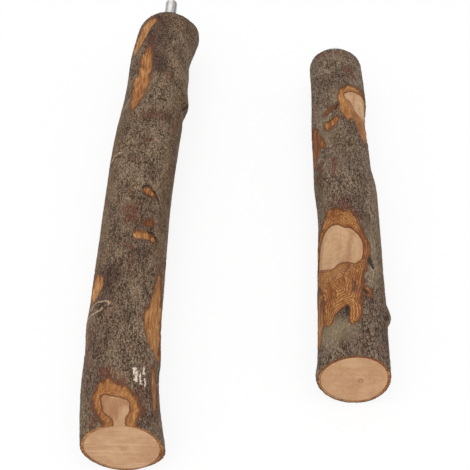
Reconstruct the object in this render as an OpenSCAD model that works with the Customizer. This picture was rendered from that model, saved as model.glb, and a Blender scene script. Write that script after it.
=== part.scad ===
// A pair of bolt-on bird perches: two natural branches with their bark on, lying side by side.
// Each has a hanger bolt in its back end, with two washers and a nut that clamp it to cage bars.
// Front ends face -Y, bolted ends face +Y, and both perches rest on Z = 0.

/* [Long perch] */
// Length of the long branch between its sawn ends
long_length = 250; // [200:1:320]
// Diameter over the bark at the front end
long_front_d = 29.4; // [24:0.1:38]
// Diameter over the bark at the bolted end
long_back_d = 29.6; // [24:0.1:38]
// How far the middle bows to the right (negative is left)
long_bow = -5.6; // [-10:0.1:10]
// Lean of the sawn front face (positive faces down)
long_front_slant = 1.5; // [-8:0.5:8]

/* [Short perch] */
// Length of the short branch between its sawn ends
short_length = 196; // [165:1:260]
// Diameter over the bark at the front end
short_front_d = 27.6; // [23:0.1:36]
// Diameter over the bark at the bolted end
short_back_d = 25.8; // [23:0.1:36]
// How far the middle bows to the right (negative is left)
short_bow = 1.2; // [-10:0.1:10]
// Lean of the sawn front face (positive faces down)
short_front_slant = -2; // [-8:0.5:8]

/* [Bark] */
// Thickness of the bark
bark_t = 1.5; // [1:0.1:2.5]

/* [Hanger bolts] */
// Thread diameter of the bolts
bolt_d = 6; // [4:0.5:8]
// Diameter of the plain shank between the two threads
shank_d = 5.2; // [3.4:0.1:7.4]
// Whole length of the long perch's bolt
long_bolt = 60; // [50:1:80]
// Whole length of the short perch's bolt
short_bolt = 40; // [35:1:60]
// Length of the long perch's bolt that stands out of the wood
long_stud = 31; // [20:0.5:34]
// Length of the short perch's bolt that stands out of the wood
short_stud = 14; // [13:0.5:18]
// How far the long perch's bolt sits to the right of the branch's middle
long_bolt_shift = -1; // [-3:0.1:3]
// How far the short perch's bolt sits to the right of the branch's middle
short_bolt_shift = 0; // [-3:0.1:3]

/* [Washers and nuts] */
// Outside diameter of the washers
washer_d = 18; // [12:0.5:22]
// Thickness of a washer
washer_t = 1.6; // [0.8:0.1:2]
// Open space between the two washers, for the cage bars
bar_gap = 2.5; // [2.2:0.1:4]
// Width of the nut across its flats
nut_flats = 10; // [10:0.5:14]
// Height of the nut
nut_h = 5; // [3:0.1:5.5]

/* [Clearances] */
// Room between the bolt and the wood all round
bolt_room = 0.05; // [0.02:0.01:0.2]
// Room between the thread and the nut all round
nut_room = 0.05; // [0.02:0.01:0.1]
// Room between the bolt and a washer all round
washer_room = 0.2; // [0.1:0.05:0.5]
// Gap between faces that meet and then move
seat_gap = 0.05; // [0.02:0.01:0.1]

/* [Layout] */
// Distance between the axes of the two perches at their front ends
axis_spacing = 84.2; // [50:0.1:140]
// How far the short perch's front end lies behind the long one's
front_step = 32.5; // [0:0.5:60]

/* [Hidden] */

// Facets round a branch, and the distance between two rings of its skin
sides = 28;
ring_step = 5;
// How far a skin runs past the ends before they are sawn off
saw_allowance = 6;
// Size of the block that saws an end off, and segments of a shave's arc
saw_block = 4 * max(long_front_d, long_back_d, short_front_d, short_back_d);
shave_segments = 12;
// How high the middle arches off the ground, and how squarely a bow bends
arch = 0.8;
bow_power = 2.6;
// Angles of a branch's top and underside
top_angle = 0;
under_angle = 180;
// Unevenness round a branch, its lobes, and its twist along the branch in degrees a millimetre
ripple = 0.2;
ripple_lobes = 3;
ripple_twist = 1.2;

// Swells and waists: distance from the front end, change of radius, half length
long_swells = [[0, 0.3, 12], [48, -0.5, 14], [165, 0.5, 22], [212, -0.2, 12], [250, 1, 11]];
short_swells = [[0, 0.3, 8], [32, 0.1, 12], [80, -0.2, 10], [108, 0.5, 8], [134, -0.3, 9]];
// Sideways bends: distance from the front end, shift to the right, half length
long_sways = [[25, -0.7, 12], [125, -0.4, 20], [190, 0.8, 16], [226, -1, 12]];
short_sways = [[85, 0.5, 14], [138, -1.2, 18]];
// Knots: distance from the front end, angle from the top to the right, height, half length, half width in degrees
long_knots = [[195, 88, 1.2, 5, 22], [56, -45, 0.8, 5, 15], [7, -3, 0.6, 10, 35]];
short_knots = [[31, 78, 1, 5, 25], [31, 17, 0.4, 4, 12], [57, -33, 0.8, 14, 35], [155, 48, 0.6, 9, 30]];
// Branch stubs cut flush into the wood: distance from the front end, angle, depth from the bark, arc radius of the cut
long_stubs = [[7, -3, 2.6, 24]];
short_stubs = [[57, -33, 5, 36], [155, 48, 3.4, 14]];
// Places where only the outer bark is shaved off, in the same terms
long_shaves = [[198, -20, 0.8, 340], [233, -36, 0.5, 140], [57, 68, 1.2, 190], [68, -60, 0.4, 170]];
short_shaves = [[27, -40, 1.2, 90], [123, -72, 0.6, 300], [136, 60, 0.5, 140]];

// A perch: its length, end diameters, bow and front slant, then its bolt, then its natural features
long_perch = [
    long_length, long_front_d, long_back_d, long_bow, long_front_slant,
    long_bolt, long_stud, long_bolt_shift,
    long_swells, long_sways, long_knots, long_stubs, long_shaves
];
short_perch = [
    short_length, short_front_d, short_back_d, short_bow, short_front_slant,
    short_bolt, short_stud, short_bolt_shift,
    short_swells, short_sways, short_knots, short_stubs, short_shaves
];
function length_of(p) = p[0];
function front_d_of(p) = p[1];
function back_d_of(p) = p[2];
function bow_of(p) = p[3];
function slant_of(p) = p[4];
function bolt_of(p) = p[5];
function stud_of(p) = p[6];
function bolt_shift_of(p) = p[7];
function swells_of(p) = p[8];
function sways_of(p) = p[9];
function knots_of(p) = p[10];
function stubs_of(p) = p[11];
function shaves_of(p) = p[12];
function bolt_in_wood(p) = bolt_of(p) - stud_of(p);

function total(v) = len(v) == 0 ? 0 : [for (x = v) 1] * v;
function bell(distance, half_width) = exp(-pow(distance / half_width, 2) / 2);
function turn_between(a, b) = abs((a - b + 540) % 360 - 180);
function along(p, s, front, back) = front + (back - front) * s / length_of(p);
function bend_share(p, s) = 1 - pow(abs(2 * s / length_of(p) - 1), bow_power);

// Radius over the bark at a distance from the front end and an angle round the branch
function bark_r(p, s, a) =
    along(p, s, front_d_of(p), back_d_of(p)) / 2
    + total([for (w = swells_of(p)) w[1] * bell(s - w[0], w[2])])
    + total([for (k = knots_of(p)) k[2] * bell(s - k[0], k[3]) * bell(turn_between(a, k[1]), k[4])])
    + ripple * sin(ripple_lobes * a + ripple_twist * s);

// The branch's axis, whose two ends lie level with the ground under the bark
function axis_x(p, s) =
    bow_of(p) * bend_share(p, s) + total([for (w = sways_of(p)) w[1] * bell(s - w[0], w[2])]);
function axis_z(p, s) =
    along(p, s, bark_r(p, 0, under_angle), bark_r(p, length_of(p), under_angle)) + arch * bend_share(p, s);
function axis_at(p, s) = [axis_x(p, s), s, axis_z(p, s)];

function ring(p, s, inset) = [
    for (i = [0 : sides - 1])
        let (a = (i + 0.5) * 360 / sides, r = bark_r(p, s, a) - inset)
            axis_at(p, s) + [r * sin(a), 0, r * cos(a)]
];
// Rings stand at equal steps between the sawn ends, and the end rings are repeated in the waste beyond them
function step_count(p) = ceil(length_of(p) / ring_step);
function ring_count(p) = step_count(p) + 3;
function branch_points(p, inset) = [
    for (j = [0 : step_count(p)], v = ring(p, j * length_of(p) / step_count(p), inset)) v
];
function skin_points(p, inset) = concat(
    [for (v = ring(p, 0, inset)) v - [0, saw_allowance, 0]],
    branch_points(p, inset),
    [for (v = ring(p, length_of(p), inset)) v + [0, saw_allowance, 0]]
);

// Triangles of a skin whose points start at an index, seen from outside or from inside
function skin_faces(p, start, outside) = [
    for (j = [0 : ring_count(p) - 2], i = [0 : sides - 1])
        let (
            k = (i + 1) % sides,
            a = start + j * sides + i,
            b = start + j * sides + k,
            c = b + sides,
            d = a + sides
        )
            each outside ? [[a, d, c], [a, c, b]] : [[a, c, d], [a, b, c]]
];

// The solid branch under the bark, and the bark as a tube round it, both with ends still to saw
module wood_blank(p) {
    last = (ring_count(p) - 1) * sides;
    caps = [[for (i = [0 : sides - 1]) i], [for (i = [sides - 1 : -1 : 0]) last + i]];
    polyhedron(skin_points(p, bark_t), concat(skin_faces(p, 0, true), caps));
}
module bark_blank(p) {
    inner = ring_count(p) * sides;
    last = inner - sides;
    rims = [
        for (i = [0 : sides - 1])
            let (k = (i + 1) % sides)
                each [
                    [i, k, inner + k, inner + i],
                    [last + i, last + inner + i, last + inner + k, last + k]
                ]
    ];
    polyhedron(
        concat(skin_points(p, 0), skin_points(p, bark_t)),
        concat(skin_faces(p, 0, true), skin_faces(p, inner, false), rims)
    );
}

// The waste beyond the two sawn ends; a slanted front face turns about its foremost edge
module end_waste(p) {
    edge = slant_of(p) < 0 ? under_angle : top_angle;
    translate(axis_at(p, 0) + [0, 0, bark_r(p, 0, edge) * cos(edge)])
        rotate([slant_of(p), 0, 0])
            translate([-saw_block / 2, -saw_block, -saw_block / 2])
                cube(saw_block);
    translate(axis_at(p, length_of(p)) - [saw_block / 2, 0, saw_block / 2])
        cube(saw_block);
}

// The waste of one shave: its floor is an arc along the branch, flat across it
module shave_waste(p, shave) {
    outer = bark_r(p, shave[0], shave[1]);
    depth = shave[2];
    radius = shave[3];
    top = outer + depth;
    half = sqrt(4 * radius * depth);
    floor_points = [
        for (i = [-shave_segments / 2 : shave_segments / 2])
            let (y = 2 * half * i / shave_segments)
                [y, outer - depth + y * y / (2 * radius)]
    ];
    translate(axis_at(p, shave[0]))
        rotate([0, shave[1], 0])
            rotate([90, 0, 90])
                linear_extrude(height = 2 * outer, center = true)
                    polygon(concat(floor_points, [[half, top + depth], [-half, top + depth]]));
}

// Moves what is drawn along the bolt's axis, with its zero on the bolted end's face
module on_bolt(p) {
    translate(axis_at(p, length_of(p)) + [bolt_shift_of(p), 0, 0])
        rotate([-90, 0, 0])
            children();
}

// The hole in the wood follows the bolt, with room at its point
module bolt_hole(p) {
    on_bolt(p)
        translate([0, 0, -bolt_in_wood(p) - bolt_room])
            cylinder(d = bolt_d + 2 * bolt_room, h = 2 * bolt_in_wood(p), $fn = 48);
}

module wood(p) {
    color("#cfa67c")
        difference() {
            wood_blank(p);
            end_waste(p);
            for (stub = stubs_of(p)) shave_waste(p, stub);
            bolt_hole(p);
        }
}

module bark(p) {
    color("#6f6251")
        difference() {
            bark_blank(p);
            end_waste(p);
            for (shave = concat(stubs_of(p), shaves_of(p))) shave_waste(p, shave);
        }
}

// Wood screw with a point, plain shank at the wood's face, and machine thread with a chamfered end
bolt_point = bolt_d;
shank_in = 4;
shank_out = 1;
bolt_chamfer = bolt_d / 8;
module hanger_bolt(p) {
    r = bolt_d / 2;
    end = stud_of(p);
    color("#c3c5c8")
        on_bolt(p)
            rotate_extrude($fn = 48)
                polygon([
                    [0, -bolt_in_wood(p)],
                    [r, -bolt_in_wood(p) + bolt_point],
                    [r, -shank_in],
                    [shank_d / 2, -shank_in],
                    [shank_d / 2, shank_out],
                    [r, shank_out],
                    [r, end - bolt_chamfer],
                    [r - bolt_chamfer, end],
                    [0, end]
                ]);
}

// Washers and nut stand in a row on the stud: inner washer, space for the bars, outer washer, nut
inner_washer_at = seat_gap;
outer_washer_at = inner_washer_at + washer_t + bar_gap;
nut_at = outer_washer_at + washer_t + seat_gap;

washer_edge = washer_t / 8;
module washer(p, place) {
    bore_r = bolt_d / 2 + washer_room;
    r = washer_d / 2;
    color("#b9bbbe")
        on_bolt(p)
            translate([0, 0, place])
                rotate_extrude($fn = 64)
                    polygon([
                        [bore_r, 0],
                        [r - washer_edge, 0],
                        [r, washer_edge],
                        [r, washer_t - washer_edge],
                        [r - washer_edge, washer_t],
                        [bore_r, washer_t]
                    ]);
}

nut_chamfer_angle = 30;
module nut(p) {
    bore_r = bolt_d / 2 + nut_room;
    corner_r = nut_flats / 2 / cos(30);
    chamfer_h = (corner_r - nut_flats / 2) * tan(nut_chamfer_angle);
    color("#b4b6ba")
        on_bolt(p)
            translate([0, 0, nut_at])
                difference() {
                    intersection() {
                        cylinder(r = corner_r, h = nut_h, $fn = 6);
                        rotate_extrude($fn = 64)
                            polygon([
                                [0, 0],
                                [nut_flats / 2, 0],
                                [corner_r, chamfer_h],
                                [corner_r, nut_h - chamfer_h],
                                [nut_flats / 2, nut_h],
                                [0, nut_h]
                            ]);
                    }
                    translate([0, 0, -nut_h])
                        cylinder(r = bore_r, h = 3 * nut_h, $fn = 48);
                }
}

// The pair's place: centred on its box, with each perch lowered until it touches the ground
long_skin = branch_points(long_perch, 0);
short_skin = branch_points(short_perch, 0);
pair_left = min([for (v = long_skin) v.x]);
pair_right = axis_spacing + max([for (v = short_skin) v.x]);
pair_back = max(long_length + long_stud, front_step + short_length + short_stud);
long_place = [
    -(pair_left + pair_right) / 2,
    -pair_back / 2,
    -min([for (v = long_skin) v.z])
];
short_place = [
    long_place.x + axis_spacing,
    long_place.y + front_step,
    -min([for (v = short_skin) v.z])
];

module long_wood() { translate(long_place) wood(long_perch); }
module long_bark() { translate(long_place) bark(long_perch); }
module long_hanger_bolt() { translate(long_place) hanger_bolt(long_perch); }
module long_inner_washer() { translate(long_place) washer(long_perch, inner_washer_at); }
module long_outer_washer() { translate(long_place) washer(long_perch, outer_washer_at); }
module long_nut() { translate(long_place) nut(long_perch); }
module short_wood() { translate(short_place) wood(short_perch); }
module short_bark() { translate(short_place) bark(short_perch); }
module short_hanger_bolt() { translate(short_place) hanger_bolt(short_perch); }
module short_inner_washer() { translate(short_place) washer(short_perch, inner_washer_at); }
module short_outer_washer() { translate(short_place) washer(short_perch, outer_washer_at); }
module short_nut() { translate(short_place) nut(short_perch); }

long_wood();
long_bark();
long_hanger_bolt();
long_inner_washer();
long_outer_washer();
long_nut();
short_wood();
short_bark();
short_hanger_bolt();
short_inner_washer();
short_outer_washer();
short_nut();
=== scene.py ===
# A pair of natural branch perches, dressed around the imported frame
import math

import bmesh
import bpy
import numpy as np
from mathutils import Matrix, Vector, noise


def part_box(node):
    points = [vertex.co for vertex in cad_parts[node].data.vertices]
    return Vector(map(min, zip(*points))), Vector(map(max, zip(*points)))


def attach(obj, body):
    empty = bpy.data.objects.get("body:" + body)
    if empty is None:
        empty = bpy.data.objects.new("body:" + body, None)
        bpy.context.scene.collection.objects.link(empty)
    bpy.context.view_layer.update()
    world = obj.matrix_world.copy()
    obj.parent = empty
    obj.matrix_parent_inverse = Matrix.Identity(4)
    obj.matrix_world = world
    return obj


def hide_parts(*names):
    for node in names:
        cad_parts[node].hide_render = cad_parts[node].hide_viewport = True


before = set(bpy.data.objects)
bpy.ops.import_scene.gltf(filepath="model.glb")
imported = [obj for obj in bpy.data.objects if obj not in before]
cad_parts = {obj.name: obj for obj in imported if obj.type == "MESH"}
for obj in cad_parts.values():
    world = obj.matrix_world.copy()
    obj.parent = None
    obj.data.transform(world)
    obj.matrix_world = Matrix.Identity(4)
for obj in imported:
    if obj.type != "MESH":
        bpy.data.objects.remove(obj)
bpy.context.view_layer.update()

# Branch sizes are in millimetres and degrees from the top towards +X, as in the part's source
MM = 0.001
BARK_T = 1.5
ARCH = 0.8
BOW_POWER = 2.6
RIPPLE = 0.2
RIPPLE_LOBES = 3
RIPPLE_TWIST = 1.2
# Length over which the slant of the sawn front dies away along the bark
SLANT_RUN = 20
# How far the bark's cut edge stands over the wood's, and the least skin left beside a stub
CUT_STEP = 0.03
LEAST_SKIN = 0.08
# How far the wood's cut runs on under the bark, and the gap between wood and bark elsewhere
CUT_OVERLAP = 0.45
BARK_GAP = 0.02
# Bark kept whole in front of a stub near the sawn front, and how the cut rises to meet it
FRONT_LIP = 0.7
FRONT_RISE = 0.4
FRONT_RUN = 3
# Least cosine between a stub's cut and the skin that it reaches
LEAST_FACING = 0.2
# How far from a stub's middle its open edge may lie, and how often that edge is evened out
LIP_REACH = 20
EVEN_ROUNDS = 5
# How close points are taken as one, and what stands in for no length at all
WELD = 1e-6
TINY = 1e-9
# Angle between two faces from which their edge is sharp
CREASE = 40
BOLT_CREASE = 50

# Hanger bolt
BOLT_R = 3.0
SHANK_R = 2.6
BOLT_POINT = 6
SHANK_IN = 4
SHANK_OUT = 1
BOLT_CHAMFER = 0.75
THREAD_PITCH = 1.0
THREAD_DEPTH = 0.61
SCREW_PITCH = 2.4
SCREW_DEPTH = 0.8
BOLT_ROOM = 0.05
# Share of a turn over which the wood screw's flank falls, and the machine thread's slope and flat
SCREW_FLANK = 0.22
THREAD_SLOPE = 1.25
THREAD_FLAT = 0.125

# Swells, sways, knots and stubs are as in the part's source.
# front_out is how far the sawn front stands in front of its place there.
# Thick rims are where the bark looks thickest on the sawn front: (angle, half width, how light).
# Lumps are (place, angle, height, half length in front, half length behind, half width in degrees).
# Outlines are (distance from the front end, angle) points, joined by a smooth curve.
# Pale places show the wood: (how light it is from 0 to 1, outline).
# Peels are (depth of bark taken off, how light the layer is, how far its fibres curl, outline).
# Streaks are (half width, strength, points) for each mark.
LONG = {
    "side": "long",
    "length": 250,
    "front_d": 29.4,
    "back_d": 29.6,
    "bow": -5.6,
    "slant": 1.5,
    "front_out": 0.8,
    "bolt_length": 60,
    "stud": 31,
    "bolt_shift": -1,
    "pith": (0.5, -0.5),
    "thick_rims": ((-55, 40, 0.7), (75, 30, 0.5)),
    "swells": ((0, 0.3, 12), (48, -0.5, 14), (165, 0.5, 22), (212, -0.2, 12), (250, 1, 11)),
    "sways": ((25, -0.7, 12), (125, -0.4, 20), (190, 0.8, 16), (226, -1, 12)),
    "knots": ((195, 88, 1.2, 5, 22), (56, -45, 0.8, 5, 15), (7, -3, 0.6, 10, 35)),
    "stubs": ((7, -3, 2.6, 24),),
    "lumps": ((190, 86, 0.8, 2, 3, 15), (184, 86, -0.6, 3, 2.5, 18), (52, -82, 0.8, 5, 6, 22),
        (38, 86, 0.7, 4, 9, 18), (0, 104, 0.9, 5, 7, 14), (0, 152, -0.7, 6, 6, 12),
        (213, 84, 0.9, 7, 7, 30), (250, 40, -0.9, 5, 5, 18), (105, -85, -0.8, 22, 90, 32)),
    "pale": (
        (0.05, ((13, -23), (12.5, -11), (12, 2), (11, 13), (9, 16), (6, 15), (4, 10), (1, 8), (-3, 9),
            (-3, -9), (1, -8), (4, -12), (5, -18), (6.5, -23), (9, -25), (11, -25.5))),
    ),
    "peels": (
        (0.8, 0.5, 0.4, ((-3, -24), (1, -23), (5, -31), (9, -36), (13, -39), (16, -33), (18, -25),
            (20, -16), (19, -9), (17, -2), (16, 7), (15, 16), (12, 25), (8, 29), (4, 26), (0, 22),
            (-3, 23))),
        (0.85, 0.58, 0, ((222, -15), (218, -10), (211, -7), (204, -5), (197, -8), (194, -4), (187, -8),
            (181, -12), (177, -16), (173, -22), (175, -31), (185, -36), (192, -38), (198, -37), (199, -30),
            (206, -30), (214, -30), (217, -23))),
        (0.85, 0.72, 0, ((246, -24), (243, -16), (240, -21), (238, -26), (232, -29), (226, -36), (221, -46),
            (222, -57), (229, -62), (236, -57), (242, -48), (246, -36))),
        (0.85, 0.7, 0, ((79, 69), (75, 61), (70, 57), (66, 53), (59, 48), (55, 40), (51, 37), (46, 39),
            (43, 45), (39, 50), (37, 62), (36, 80), (44, 92), (56, 88), (70, 78))),
        (0.75, 0.65, 0, ((75, -57), (71, -41), (67, -36), (63, -42), (61, -51), (60, -68), (68, -72))),
        (0.4, 0.5, 0, ((31, 61), (28, 68), (21, 70), (14, 66), (10, 61), (11, 55), (18, 56), (25, 57))),
        (0.6, 0.6, 0, ((92, 7), (94, 17), (94.5, 28), (94.5, 42), (93, 48), (91, 42), (91, 32), (90, 21),
            (90, 12))),
        (0.5, 0.5, 0, ((119, 17), (121, 27), (119, 36), (117, 43), (116, 33), (117, 23))),
        (0.5, 0, 0, ((99, 24), (103, 33), (102, 42), (100, 40), (98.5, 30))),
    ),
    "streaks": {
        "light": ((0.35, 0.75, ((57, -66), (57.5, -48), (57.5, -35), (57, -26), (55, -20))),
            (0.35, 0.75, ((54, -70), (53, -47), (53, -38), (54, -32))),
            (0.45, 0.7, ((142, -58), (143.5, -48), (144, -37), (143, -29))),
            (0.35, 0.6, ((138, -52), (141, -40)))),
        # Painted shadow lines: dark lines where shade falls along ledges, peel edges and the back rim
        "shadow_line": ((0.5, 0.7, ((55.5, -66), (55.3, -48), (55.5, -34))),
            (0.5, 0.7, ((59, -66), (59, -48), (59, -36))),
            (0.7, 0.7, ((139.5, -56), (142, -44), (141.5, -32))),
            (0.5, 1, ((95, 34), (96, 43), (93, 52))),
            (0.5, 0.9, ((120, 15), (122, 27), (119, 40), (115, 50))), (0.4, 0.8, ((117, 20), (115, 36))),
            (0.5, 1, ((180, 19), (181, 32))), (0.4, 0.9, ((196, 38), (195, 50), (193, 68))),
            (0.9, 0.8, ((190, 84), (186, 78))), (0.5, 0.9, ((66, 36), (63, 40))),
            (0.5, 0.9, ((64, 43), (62, 49))), (0.8, 0.7, ((235, -19), (231, -33))),
            (0.7, 0.7, ((249.8, -110), (249.8, 110)))),
        "rust": ((2.6, 0.9, ((24, -22), (21, -14), (19, -4), (18, 4))), (1, 0.8, ((117, -5), (115, -3))),
            (3, 0.9, ((107, 0), (100, 4))), (1.2, 0.8, ((86, 2), (84, 6))),
            (1, 0.8, ((80, 10), (73, 12))), (1.6, 0.9, ((48, -60), (38, -58), (30, -60))),
            (2.2, 0.8, ((202, 26), (200, 31))), (0.9, 1, ((150, 11), (152, 19))),
            (2.4, 0.6, ((167, 2), (169, 18), (170, 38))), (1.6, 0.7, ((182, 68), (172, 65), (164, 59))),
            (1.6, 0.8, ((228, -14), (220, -13))), (1.6, 0.8, ((84, 62), (78, 68))),
            (1.6, 0.8, ((176, -16), (172, -26))), (1.4, 0.7, ((16, 34), (12, 34), (6, 33))),
            (1.4, 0.7, ((12, -42), (4, -36), (0, -42))), (8, 0.2, ((247, -24), (246, 30))),
            (2.2, 0.25, ((33, 60), (20, 63), (9, 60))), (2, 0.6, ((76, 66), (66, 62)))),
        "bruise": ((3.5, 0.6, ((167, 2), (169, 18), (170, 38))),
            (5, 1, ((242, -14), (228, -5), (216, 3), (204, 4))),
            (6, 0.5, ((110, 22), (100, 14), (80, 16))), (6, 0.5, ((74, -12), (60, -20), (48, -32))),
            (5, 1, ((72, -30), (68, -22))), (5, 0.5, ((20, 44), (4, 42))),
            (6, 0.5, ((54, -28), (40, -28), (30, -36), (18, -46))), (5, 0.5, ((104, -18), (96, 2)))),
        "olive": ((5, 0.4, ((248, 44), (236, 54))), (4, 0.8, ((192, 66), (184, 58))),
            (4, 0.9, ((178, 70), (120, 66), (84, 60))), (6, 0.9, ((170, -60), (120, -58), (80, -60)))),
        "chip": ((0.95, 1, ((24.5, 25), (22, 25))), (0.6, 1, ((21, 25.5), (19, 25.5))),
            (0.45, 1, ((27, 40), (24, 39.5))), (0.55, 1, ((23, 34), (18.5, 34))),
            (0.4, 1, ((22, 41), (18.5, 40)))),
    },
}
SHORT = {
    "side": "short",
    "length": 196,
    "front_d": 27.6,
    "back_d": 25.8,
    "bow": 1.2,
    "slant": -2,
    "front_out": 0,
    "bolt_length": 40,
    "stud": 14,
    "bolt_shift": 0,
    "pith": (2.4, -0.6),
    "thick_rims": ((75, 32, 0.5), (0, 45, 0.1)),
    "swells": ((0, 0.3, 8), (32, 0.1, 12), (80, -0.2, 10), (108, 0.5, 8), (134, -0.3, 9)),
    "sways": ((85, 0.5, 14), (138, -1.2, 18)),
    "knots": ((31, 78, 1, 5, 25), (31, 17, 0.4, 4, 12), (57, -33, 0.8, 14, 35), (155, 48, 0.6, 9, 30)),
    "stubs": ((57, -33, 5, 36), (155, 48, 3.4, 14)),
    "lumps": ((31, 78, -1, 5, 5, 25), (29.5, 84, 1.5, 1.5, 3, 16), (2, -90, 0.6, 1.5, 2, 7),
        (116, 85, -0.8, 6, 6, 30)),
    "pale": (
        (0.8, ((70, -18), (68.5, -7), (67, 3), (64, 12), (61, 18), (57, 19), (52, 16), (50, 11), (48.5, 4),
            (49.5, -1), (51.5, -10), (52.5, -23), (52.5, -37), (51.5, -44), (51, -52), (52, -66), (54, -84),
            (57, -98), (62, -98), (67, -84), (71, -62), (72.5, -44), (72, -31))),
        (1, ((159, 9), (161, 16), (163, 28), (164, 45), (165, 62), (164, 80), (158, 100), (148, 96),
            (144, 76), (148, 58), (154, 40), (156, 24), (156, 14))),
    ),
    "peels": (
        (0.85, 0.4, 1, ((81, -24), (78.5, -13), (79, -4), (76.5, 3), (71, 12), (65, 21), (62, 28), (56, 30),
            (51, 25), (46, 20), (42, 15), (36, 12), (31, 10), (25, 9), (20, 8), (17, 2), (16, -7),
            (19, -10), (25, -10), (26, -16), (24, -28), (22, -36), (19, -43), (19, -52), (20, -57),
            (24, -60), (30, -58), (38, -64), (44, -80), (46, -98), (66, -98), (72, -74), (77, -59),
            (82, -46))),
        (0.6, 0.45, 0, ((38, -66), (29, -63), (23, -62), (19, -66), (12, -78), (20, -96), (38, -96))),
        (0.85, 0.6, 0.7, ((161, -1), (163, 7), (166, 23), (167, 39), (166, 60), (160, 88), (148, 94),
            (138, 88), (132, 66), (130, 52), (135, 39), (141, 31), (142, 22), (139, 16), (142, 8), (145, 1),
            (149, -3), (155, -4))),
        (0.7, 0.35, 0, ((136, -35), (133, -29), (133, -23), (135, -17), (138, -7), (141, -5), (141, -12),
            (139, -24), (138, -32))),
        (0.5, 0.2, 0, ((145.2, -36), (147.7, -24), (148.8, -12), (148, -10), (146.4, -21), (144.2, -31))),
        (0.65, 0.25, 0, ((144, -80), (140, -62), (137, -55), (133, -50), (125, -38), (123, -43), (124, -50),
            (121, -54), (119, -62), (117, -76), (119, -90), (130, -94), (142, -90))),
        (0.6, 0.4, 0, ((36, 20), (33.5, 29), (30.5, 22), (33, 14))),
    ),
    "streaks": {
        # Painted shadow lines: dark lines where shade falls along ledges, peel edges and the back rim
        "shadow_line": ((1, 1, ((33.5, 17), (32.5, 20))), (1.4, 0.85, ((51.5, 29), (48, 33))),
            (0.7, 0.6, ((40, -3), (36, 1), (33, -3))), (0.8, 0.7, ((25, -14), (21, -13))),
            (0.4, 0.6, ((141, 0), (138, 10))), (0.5, 0.8, ((150, -6), (147, -9))),
            (0.8, 0.8, ((28, 76), (26, 66), (25, 58))), (0.7, 0.7, ((195.8, -110), (195.8, 110)))),
        "rust": ((2.4, 1, ((41, 0), (37, 2), (34, 0))), (1.4, 1, ((46, 17), (40, 12), (34, 10), (28, 7))),
            (1.6, 0.9, ((112, -23), (103, -25))), (2.6, 0.9, ((113, -58), (106, -66))),
            (0.7, 1, ((86, -3), (86, 2))), (3.4, 0.8, ((180, 22), (174, 26))),
            (4, 0.4, ((193, -35), (194, -14), (192, 10))),
            (2, 0.8, ((84, -30), (86, -22), (80, -4), (76, 8))), (1.6, 0.7, ((130, 44), (124, 56))),
            (2.2, 0.9, ((147, 30), (141, 46), (135, 66))), (1.3, 1, ((137, -62), (126, -64), (116, -76))),
            (1.3, 0.9, ((66, 17), (60, 24), (54, 26), (48, 20)))),
        "light": ((0.4, 0.6, ((47.5, 30), (45, 35))),),
        "bruise": ((5, 0.6, ((172, -10), (166, 2))), (5, 0.5, ((84, 2), (78, 10), (70, 22))),
            (4, 0.6, ((27, -20), (22, -18))), (7, 0.5, ((28, 42), (8, 44))), (5, 0.7, ((10, -2), (4, 0))),
            (5, 0.5, ((113, -12), (107, 0)))),
        "olive": ((5, 0.6, ((130, -10), (118, 6))), (3, 0.8, ((118, 66), (70, 62), (14, 64))),
            (3, 0.7, ((112, -64), (86, -62)))),
        "smooth": ((6, 1, ((17, -46), (14, -22))), (3, 0.6, ((72, 30), (54, 38), (40, 36))),
            (2.5, 0.6, ((124, -32), (134, -44), (148, -46))), (2, 0.5, ((130, -30), (131, -12))),
            (2.5, 0.6, ((164, -8), (154, -8)))),
    },
}
MARKS = (
    "edge", "rim", "tan", "curl", "crack", "rust", "shadow_line",
    "light", "chip", "bruise", "olive", "smooth", "sawn",
)
# Limits of the two distances kept with the marks: from a peel's edge, and from bare wood
EDGE_REACH = 9
RIM_REACH = 10
# Bark taken off where the wood is bare
PALE_PEEL = 1.65
# How ragged outlines and streaks are, and the slope across an outline
PEEL_RAG = 0.7
PEEL_SLOPE = (-0.3, 0.8)
PALE_RAG = 0.3
PALE_SLOPE = (-0.5, 0.7)
STREAK_RAG = 0.6
# Shares of its half width where a streak begins to fade, is gone, and isn't looked for
STREAK_FADE = (0.4, 1.6)
STREAK_MARGIN = 3
# Shares of the wide and the fine unevenness in a ragged edge, along the branch and round it
RAG_ALONG = (0.9, 0.5)
RAG_ROUND = (0.6, 0.3)
CURVE_STEPS = 8

# Unevenness is (cell size, stretch along the branch, seed)
WIDE_RAG = (3.4, 1.5, 1)
FINE_RAG = (1.0, 1.8, 2)
SIDE_RAG = (2.2, 1.5, 3)
CRACKS = (1.5, 2.6, 4)
CRACKED_PARTS = (6.0, 1.6, 5)
FLAKES = (1.2, 2.2, 6)
BROAD_WAVES = (9.0, 2.0, 7)
FIBRES = (0.8, 6.0, 8)
SAW_WAVES = (1.0, 1.0, 9)
RIM_WAVES = (3.0, 1.0, 10)
NOISE_SHIFT = 31.7

# Heights of the bark's surface, and the ranges over which they come and go
BARK_LEVEL = -0.1
FISSURE_DEPTH = 0.24
FISSURE_WIDTH = 0.2
FISSURED = (-0.6, 0.1)
FLAKE_HEIGHT = 0.12
BROAD_HEIGHT = 0.10
# The bark is dented a little under the painted shadow lines
SHADOW_LINE_DENT = 0.4
LIGHT_RISE = 0.25
ROUGH_TOP = 0.15
SMOOTHED = 0.6
SKIN_GONE = (0.05, 0.35)
FIBRE_HEIGHT = 0.06
RIDGE_HEIGHT = 0.10
RIDGE_PITCH = 1.5
RIDGE_REACH = (4, 7)
RIDGE_FROM = (0.3, 0.7)
RIDGE_TO = (0.9, 1.2)

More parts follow.
